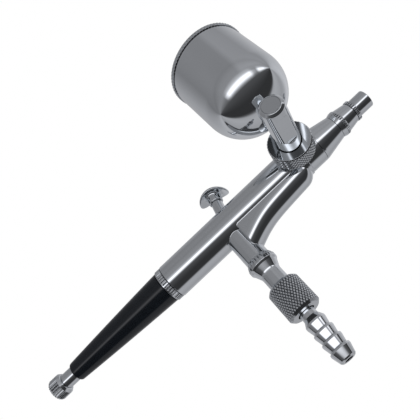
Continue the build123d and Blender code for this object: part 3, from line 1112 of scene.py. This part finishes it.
# Brightness by direction round the barrel, in degrees: 0 is level towards -Y and 90 straight down.
STUDIO_BANDS = [
    (-180, 0.50),
    (-124, 0.38),
    (-100, 0.30),
    (-80, 0.235),
    (-50, 0.255),
    (-36, 0.235),
    (-20, 0.275),
    (-8, 0.29),
    (2, 0.28),
    (24, 0.14),
    (30, 0.085),
    (50, 0.050),
    (62, 0.036),
    (89, 0.036),
    (94, 0.10),
    (101, 0.40),
    (112, 0.44),
    (130, 0.41),
    (150, 0.365),
    (162, 0.38),
    (180, 0.50),
]
# The long soft box on the -Y side: its brightness by the same angle.
SOFT_BOX = [(-180, 0), (-6, 0), (4, 0.25), (10, 1.0), (17, 1.0), (24, 0.2), (29, 0), (180, 0)]
SOFT_BOX_STRENGTH = 1.2
# How much of the soft box shows from the handle's end (-1) to the nozzle's end (1).
SOFT_BOX_ENDS = [
    (-1, 0),
    (-0.74, 0),
    (-0.56, 1),
    (0.58, 1),
    (0.70, 0.25),
    (0.80, 0.1),
    (0.87, 1),
    (0.95, 1),
    (1, 0.3),
]
# How the walls above the barrel dim or brighten it, from the handle's end to the nozzle's end.
SIDE_WALLS = [(-1, 0.85), (-0.8, 0.92), (-0.6, 1), (0.28, 1), (0.45, 1.28), (1, 1.3)]
SIDE_WALLS_PEAK = 1.3
TINT = 1.035


class Sky:
    """The world's node tree, and small helpers that build curves of direction in it."""

    def __init__(self, world):
        world.use_nodes = True
        self.nodes, self.links = world.node_tree.nodes, world.node_tree.links
        self.nodes.clear()
        place = self.nodes.new("ShaderNodeTexCoord")
        parts = self.nodes.new("ShaderNodeSeparateXYZ")
        self.links.new(place.outputs["Generated"], parts.inputs["Vector"])
        self.x, self.y, self.z = (parts.outputs[axis] for axis in "XYZ")

    def math(self, operation, *values):
        node = self.nodes.new("ShaderNodeMath")
        node.operation = operation
        for socket, value in zip(node.inputs, values):
            if isinstance(value, (int, float)):
                socket.default_value = value
            else:
                self.links.new(value, socket)
        return node.outputs[0]

    def spread(self, value, low, high):
        """Maps low to high onto 0 to 1, held at the ends."""
        node = self.nodes.new("ShaderNodeMapRange")
        node.inputs["From Min"].default_value = low
        node.inputs["From Max"].default_value = high
        self.links.new(value, node.inputs["Value"])
        return node.outputs["Result"]

    def curve(self, value, low, high, stops, peak=1.0):
        """A brightness that changes in straight runs between stops, divided by its peak."""
        node = self.nodes.new("ShaderNodeValToRGB")
        ramp = node.color_ramp
        while len(ramp.elements) > 1:
            ramp.elements.remove(ramp.elements[-1])
        for k, (stop, level) in enumerate(stops):
            position = (stop - low) / (high - low)
            element = ramp.elements[0] if k == 0 else ramp.elements.new(position)
            element.position = position
            element.color = (level / peak, level / peak, level / peak, 1)
        self.links.new(self.spread(value, low, high), node.inputs["Fac"])
        return node.outputs["Color"]

    def background(self, strength, colour=(1, 1, 1, 1)):
        node = self.nodes.new("ShaderNodeBackground")
        node.inputs["Color"].default_value = colour
        if isinstance(strength, (int, float)):
            node.inputs["Strength"].default_value = strength
        else:
            self.links.new(strength, node.inputs["Strength"])
        return node.outputs["Background"]


def add_studio():
    """White for the camera, even light for matt surfaces, and soft-box bands for gloss."""
    world = bpy.data.worlds.new("studio")
    bpy.context.scene.world = world
    sky = Sky(world)
    turn = sky.math("ARCTAN2", sky.math("MULTIPLY", sky.z, -1), sky.math("MULTIPLY", sky.y, -1))
    degrees = sky.math("MULTIPLY", turn, 180 / math.pi)
    bands = sky.curve(degrees, -180, 180, STUDIO_BANDS)
    walls = sky.math("MULTIPLY", sky.curve(sky.x, -1, 1, SIDE_WALLS, SIDE_WALLS_PEAK), SIDE_WALLS_PEAK)
    above = sky.spread(sky.z, -0.05, 0.15)
    walls = sky.math("ADD", sky.math("MULTIPLY", above, sky.math("SUBTRACT", walls, 1)), 1)
    strip = sky.curve(degrees, -180, 180, SOFT_BOX)
    box = sky.math("MULTIPLY", strip, sky.curve(sky.x, -1, 1, SOFT_BOX_ENDS))
    box = sky.math("MULTIPLY", box, SOFT_BOX_STRENGTH)
    level = sky.math("ADD", sky.math("MULTIPLY", bands, walls), box)
    gloss = sky.background(level, (1, 1, TINT, 1))
    even = sky.background(1.0)
    rays = sky.nodes.new("ShaderNodeLightPath")
    mix = sky.nodes.new("ShaderNodeMixShader")
    output = sky.nodes.new("ShaderNodeOutputWorld")
    sky.links.new(rays.outputs["Is Glossy Ray"], mix.inputs["Fac"])
    sky.links.new(even, mix.inputs[1])
    sky.links.new(gloss, mix.inputs[2])
    sky.links.new(mix.outputs["Shader"], output.inputs["Surface"])


def add_floor():
    """A pale floor well below the hose tail, out of the glossy reflections."""
    drop = 0.045
    half = 3.0
    level = cad_low.z - drop
    mesh = bpy.data.meshes.new("floor")
    corners = [(-half, -half, level), (half, -half, level), (half, half, level), (-half, half, level)]
    mesh.from_pydata(corners, [], [(0, 1, 2, 3)])
    floor = bpy.data.objects.new("floor", mesh)
    bpy.context.scene.collection.objects.link(floor)
    material, nodes, links, shader = new_material("pale_floor")
    tone = noise(nodes, links, 6.0, 2.0)
    pale = tinted(nodes, links, tone, (0.86, 0.86, 0.86), (0.90, 0.90, 0.90))
    links.new(pale, shader.inputs["Base Color"])
    shader.inputs["Roughness"].default_value = 0.9
    mesh.materials.append(material)
    floor.visible_glossy = False


add_camera()
add_studio()
add_floor()
bpy.context.scene.view_settings.view_transform = "Standard"
